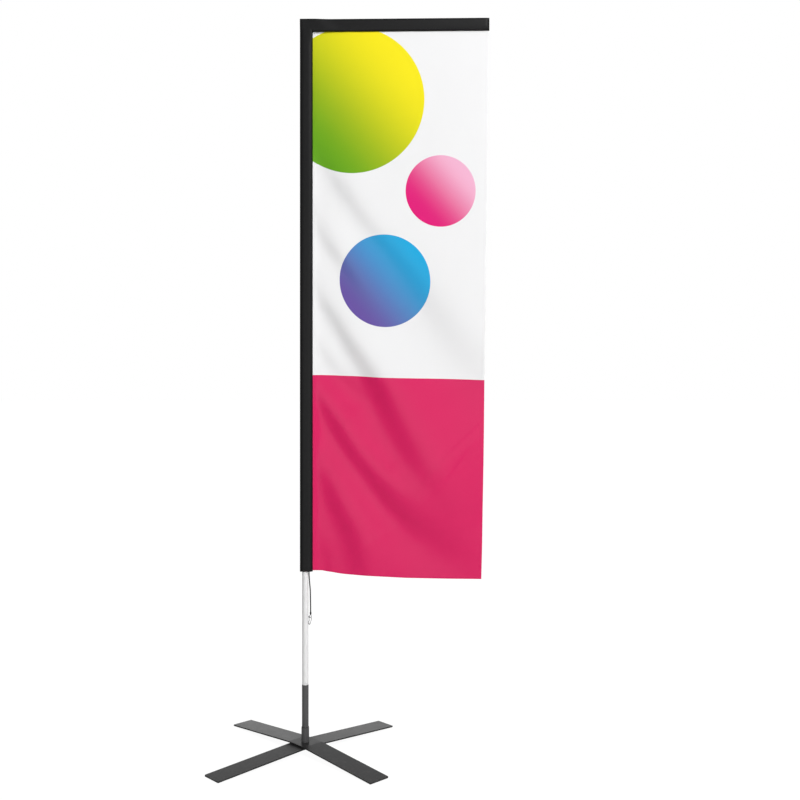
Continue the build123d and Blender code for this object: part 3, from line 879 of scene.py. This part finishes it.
steel = metal("zinc_steel", (0.58, 0.58, 0.60), 0.36)
wire = metal("bright_wire", (0.20, 0.20, 0.21), 0.26, scale=1500)
aluminium = metal("drawn_aluminium", (0.80, 0.80, 0.81), 0.34, (1, 1, 0.02))
nylon = moulded("black_nylon", (0.014, 0.014, 0.015), 0.5)
acetal = moulded("pale_acetal", (0.62, 0.61, 0.58), 0.45)
rubber = moulded("pad_rubber_black", (0.016, 0.016, 0.016), 0.8)
lacquer = white_lacquer()
worn_rims = tube_wear(HOUSING_FOOT - 0.0005, HOUSING_RIM + 0.0003, SOCKET_FOOT - 0.0002, SOCKET_RIM + 0.0002)
tube_coat = powder_coat("coated_tube", 0.088, worn_rims)
FINISHES = {
    "lower_bar": powder_coat("coated_lower_bar", 0.020, bar_wear(math.radians(45))),
    "upper_bar": powder_coat("coated_upper_bar", 0.020, bar_wear(math.radians(-45))),
    "slip_disc": nylon, "bolt_washer": steel, "pivot_bolt": steel,
    "spindle_housing": tube_coat, "socket_tube": tube_coat, "housing_plug": steel,
    "lower_bush": acetal, "upper_bush": nylon, "spindle_stem": steel, "retaining_clip": steel,
    "pole_spigot": aluminium, "pole_joiner_1": aluminium, "pole_joiner_2": aluminium,
    "pole_section_1": lacquer, "pole_section_2": lacquer, "pole_section_3": lacquer,
    "corner_piece": nylon, "top_arm": lacquer, "arm_cap": nylon,
    "cord_ring": wire, "spring_hook": wire, "hook_gate": wire, "gate_pin": wire, "pole_eye": wire,
    "foot_pad_lower_left": rubber, "foot_pad_lower_right": rubber,
    "foot_pad_upper_left": rubber, "foot_pad_upper_right": rubber,
}
BEVELS = {"lower_bar": 0.7, "upper_bar": 0.7, "foot_pad_lower_left": 0.3, "foot_pad_lower_right": 0.3,
          "foot_pad_upper_left": 0.3, "foot_pad_upper_right": 0.3, "slip_disc": 0.3}
for name, material in FINISHES.items():
    nodes[name].data.materials.clear()
    nodes[name].data.materials.append(material)
for name, size in BEVELS.items():
    weld = nodes[name].modifiers.new("weld", "WELD")
    weld.merge_threshold = 1e-6
    bevel = nodes[name].modifiers.new("edges", "BEVEL")
    bevel.width = size * MM
    bevel.segments = 3
    bevel.limit_method = "ANGLE"
    bevel.angle_limit = math.radians(40)
    bevel.harden_normals = False
    shade = nodes[name].modifiers.new("shade", "WEIGHTED_NORMAL")
    shade.keep_sharp = False


# ------------------------------------------------------------------ what rides on what

for piece, slot, replaced in (
    (cord, "cord_black", ["tension_cord"]), (knot, "cord_black", ["cord_knot"]),
    (tab, "cloth_black", ["cord_tab"]), (panel, "cloth_print", ["flag_panel"]),
    (sleeve, "cloth_black", ["pole_sleeve"]), (pocket, "cloth_black", ["top_pocket"]),
):
    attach(piece, "mast")
    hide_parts(*replaced)


# ------------------------------------------------------------------ floor and light

FLOOR_HALF = 900.0
FLOOR_LEVEL = -0.0004       # just under the pads, so that no faces coincide


def pale_floor():
    """Floor that is nearly white to the camera and throws little light up, least on the left."""
    corners = ((-1, -1), (1, -1), (1, 1), (-1, 1))
    verts = [(x * FLOOR_HALF, y * FLOOR_HALF, FLOOR_LEVEL) for x, y in corners]
    floor = mesh_object("floor", verts, [(0, 1, 2, 3)], smooth=False)
    s = Surface("pale_floor", (0.8, 0.8, 0.8), 0.9, Emission_Color=(1, 1, 1, 1), Emission_Strength=0.0)
    seen = s.node("ShaderNodeLightPath").outputs["Is Camera Ray"]
    pale = s.mix(s.noise(0.8, 2), (0.09, 0.09, 0.09), (0.10, 0.10, 0.10))
    dim = s.mix(s.fade(s.parts(s.place)[0], -2.0, 0.3), (0.06, 0.06, 0.06), (0.8, 0.8, 0.8))
    s.set("Base Color", s.mix(seen, dim, pale))
    s.set("Emission Strength", s.math("MULTIPLY_ADD", seen, 0.92, 0.03))
    floor.data.materials.append(s.material)


def studio_world():
    """White to the camera. Other rays find a soft light, strongest behind and least above."""
    world = bpy.data.worlds.new("studio")
    scene.world = world
    world.use_nodes = True
    sky = NodeTree(world.node_tree)
    x, y, z = sky.parts(sky.node("ShaderNodeTexCoord").outputs["Generated"])
    side = sky.fade(x, -0.9, 0.6, 0.22, 0.46)
    behind = sky.fade(y, -0.3, 0.4, 0.0, 0.8)
    upward = sky.fade(z, 0.0, 0.7, 1.0, 0.5)
    light = sky.math("MULTIPLY", sky.math("MAXIMUM", side, behind), upward)
    seen = sky.node("ShaderNodeLightPath").outputs["Is Camera Ray"]
    ground = sky.tree.nodes["Background"]
    sky.put(ground.inputs["Strength"], sky.math("MAXIMUM", light, seen))
    sky.put(ground.inputs["Color"], (1, 1, 1, 1))


def soft_lamp(name, place, target, size, power):
    """Rectangular lamp turned to its target and hidden from the camera."""
    data = bpy.data.lights.new(name, "AREA")
    data.shape = "RECTANGLE"
    data.size, data.size_y = size
    data.energy = power
    lamp = link(bpy.data.objects.new(name, data))
    lamp.location = place
    lamp.rotation_euler = (Vector(target) - Vector(place)).to_track_quat("-Z", "Y").to_euler()
    lamp.visible_camera = False


pale_floor()
studio_world()
soft_lamp("key", (2.9, -4.6, 5.7), (0.3, 0, 1.4), (1.6, 2.4), 278)
soft_lamp("front", (0.2, -6.4, 1.4), (0.3, 0, 1.2), (4.0, 2.6), 100)
soft_lamp("low_back", (0.2, 2.2, 0.42), (0.1, 0.2, 0.0), (2.6, 0.4), 3.3)
